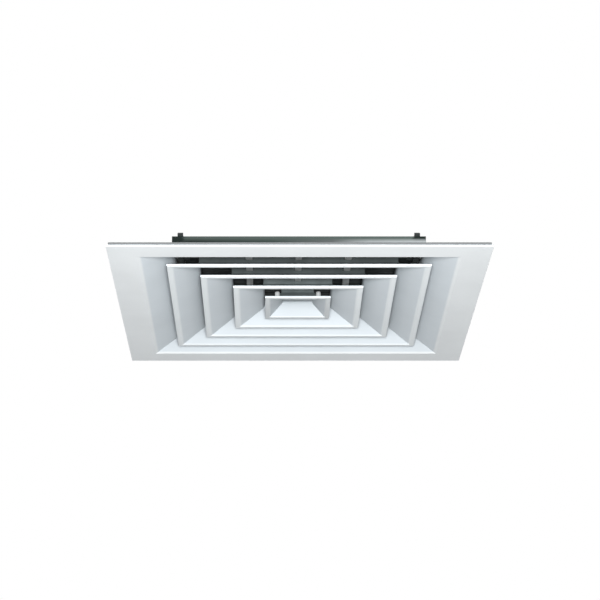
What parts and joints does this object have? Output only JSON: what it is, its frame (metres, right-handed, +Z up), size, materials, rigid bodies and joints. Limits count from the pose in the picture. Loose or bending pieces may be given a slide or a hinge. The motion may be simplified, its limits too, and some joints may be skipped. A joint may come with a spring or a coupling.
{
  "type": "square ceiling air diffuser",
  "caption": "Square ceiling air outlet: nested louvre cones in a flanged frame, with an opposed-blade damper on its neck.",
  "frame": {"origin": "centre of the face in plan, on the lowest plane of the face, the inner rim of the flange", "axes": "+Z up into the duct, the face looks down; the damper's blades lie along X; the sides are square to X and Y"},
  "size_m": [0.45, 0.45, 0.0522],
  "materials": {
    "white_paint": "satin",
    "mill_aluminium": "satin",
    "zinc_steel": "satin",
    "black_plastic": "matte",
    "grey_foam": "matte"
  },
  "bodies": {
    "frame": {"frame_rail_near": "white_paint", "frame_rail_right": "white_paint", "frame_rail_far": "white_paint", "frame_rail_left": "white_paint", "corner_key_far_right": "zinc_steel", "corner_key_far_left": "zinc_steel", "corner_key_near_left": "zinc_steel", "corner_key_near_right": "zinc_steel", "gasket": "grey_foam", "core_fork_near_left": "zinc_steel", "core_fork_near_right": "zinc_steel", "core_fork_far_left": "zinc_steel", "core_fork_far_right": "zinc_steel", "damper_rail_near": "mill_aluminium", "damper_rail_right": "mill_aluminium", "damper_rail_far": "mill_aluminium", "damper_rail_left": "mill_aluminium", "damper_screw_left_near": "zinc_steel", "damper_screw_left_far": "zinc_steel", "damper_screw_right_near": "zinc_steel", "damper_screw_right_far": "zinc_steel"},
    "core": {"cone_1_near": "white_paint", "cone_1_right": "white_paint", "cone_1_far": "white_paint", "cone_1_left": "white_paint", "cone_2_near": "white_paint", "cone_2_right": "white_paint", "cone_2_far": "white_paint", "cone_2_left": "white_paint", "cone_3_near": "white_paint", "cone_3_right": "white_paint", "cone_3_far": "white_paint", "cone_3_left": "white_paint", "cone_4_near": "white_paint", "cone_4_right": "white_paint", "cone_4_far": "white_paint", "cone_4_left": "white_paint", "core_strap_left": "mill_aluminium", "core_strap_middle": "mill_aluminium", "core_strap_right": "mill_aluminium", "core_stud_near_left": "mill_aluminium", "core_stud_near_right": "mill_aluminium", "core_stud_far_left": "mill_aluminium", "core_stud_far_right": "mill_aluminium", "centre_plate": "white_paint"},
    "blade_1": {"damper_blade_1": "black_plastic"},
    "blade_2": {"damper_blade_2": "black_plastic"},
    "blade_3": {"damper_blade_3": "black_plastic"},
    "blade_4": {"damper_blade_4": "black_plastic"},
    "blade_5": {"damper_blade_5": "black_plastic"},
    "blade_6": {"damper_blade_6": "black_plastic"},
    "blade_7": {"damper_blade_7": "black_plastic"},
    "blade_8": {"damper_blade_8": "black_plastic"},
    "blade_9": {"damper_blade_9": "black_plastic"},
    "blade_10": {"damper_blade_10": "black_plastic"},
    "blade_11": {"damper_blade_11": "black_plastic"},
    "blade_12": {"damper_blade_12": "black_plastic"}
  },
  "joints": [
    {"name": "core_drop", "type": "slide", "parent": "frame", "child": "core", "axis": [0, 0, -1], "range_m": [0, 0.12]},
    {"name": "blade_1_turn", "type": "hinge", "parent": "frame", "child": "blade_1", "pos_m": [0, -0.132, 0.03849], "axis": [1, 0, 0], "range_deg": [0, 90]},
    {"name": "blade_2_turn", "type": "hinge", "parent": "frame", "child": "blade_2", "pos_m": [0, -0.108, 0.03849], "axis": [1, 0, 0], "range_deg": [-90, 0]},
    {"name": "blade_3_turn", "type": "hinge", "parent": "frame", "child": "blade_3", "pos_m": [0, -0.084, 0.03849], "axis": [1, 0, 0], "range_deg": [0, 90]},
    {"name": "blade_4_turn", "type": "hinge", "parent": "frame", "child": "blade_4", "pos_m": [0, -0.06, 0.03849], "axis": [1, 0, 0], "range_deg": [-90, 0]},
    {"name": "blade_5_turn", "type": "hinge", "parent": "frame", "child": "blade_5", "pos_m": [0, -0.036, 0.03849], "axis": [1, 0, 0], "range_deg": [0, 90]},
    {"name": "blade_6_turn", "type": "hinge", "parent": "frame", "child": "blade_6", "pos_m": [0, -0.012, 0.03849], "axis": [1, 0, 0], "range_deg": [-90, 0]},
    {"name": "blade_7_turn", "type": "hinge", "parent": "frame", "child": "blade_7", "pos_m": [0, 0.012, 0.03849], "axis": [1, 0, 0], "range_deg": [0, 90]},
    {"name": "blade_8_turn", "type": "hinge", "parent": "frame", "child": "blade_8", "pos_m": [0, 0.036, 0.03849], "axis": [1, 0, 0], "range_deg": [-90, 0]},
    {"name": "blade_9_turn", "type": "hinge", "parent": "frame", "child": "blade_9", "pos_m": [0, 0.06, 0.03849], "axis": [1, 0, 0], "range_deg": [0, 90]},
    {"name": "blade_10_turn", "type": "hinge", "parent": "frame", "child": "blade_10", "pos_m": [0, 0.084, 0.03849], "axis": [1, 0, 0], "range_deg": [-90, 0]},
    {"name": "blade_11_turn", "type": "hinge", "parent": "frame", "child": "blade_11", "pos_m": [0, 0.108, 0.03849], "axis": [1, 0, 0], "range_deg": [0, 90]},
    {"name": "blade_12_turn", "type": "hinge", "parent": "frame", "child": "blade_12", "pos_m": [0, 0.132, 0.03849], "axis": [1, 0, 0], "range_deg": [-90, 0]}
  ],
  "couplings": [
    {"joint": "blade_1_turn", "follows": "blade_7_turn", "ratio": 1},
    {"joint": "blade_2_turn", "follows": "blade_7_turn", "ratio": -1},
    {"joint": "blade_3_turn", "follows": "blade_7_turn", "ratio": 1},
    {"joint": "blade_4_turn", "follows": "blade_7_turn", "ratio": -1},
    {"joint": "blade_5_turn", "follows": "blade_7_turn", "ratio": 1},
    {"joint": "blade_6_turn", "follows": "blade_7_turn", "ratio": -1},
    {"joint": "blade_8_turn", "follows": "blade_7_turn", "ratio": -1},
    {"joint": "blade_9_turn", "follows": "blade_7_turn", "ratio": 1},
    {"joint": "blade_10_turn", "follows": "blade_7_turn", "ratio": -1},
    {"joint": "blade_11_turn", "follows": "blade_7_turn", "ratio": 1},
    {"joint": "blade_12_turn", "follows": "blade_7_turn", "ratio": -1}
  ]
}
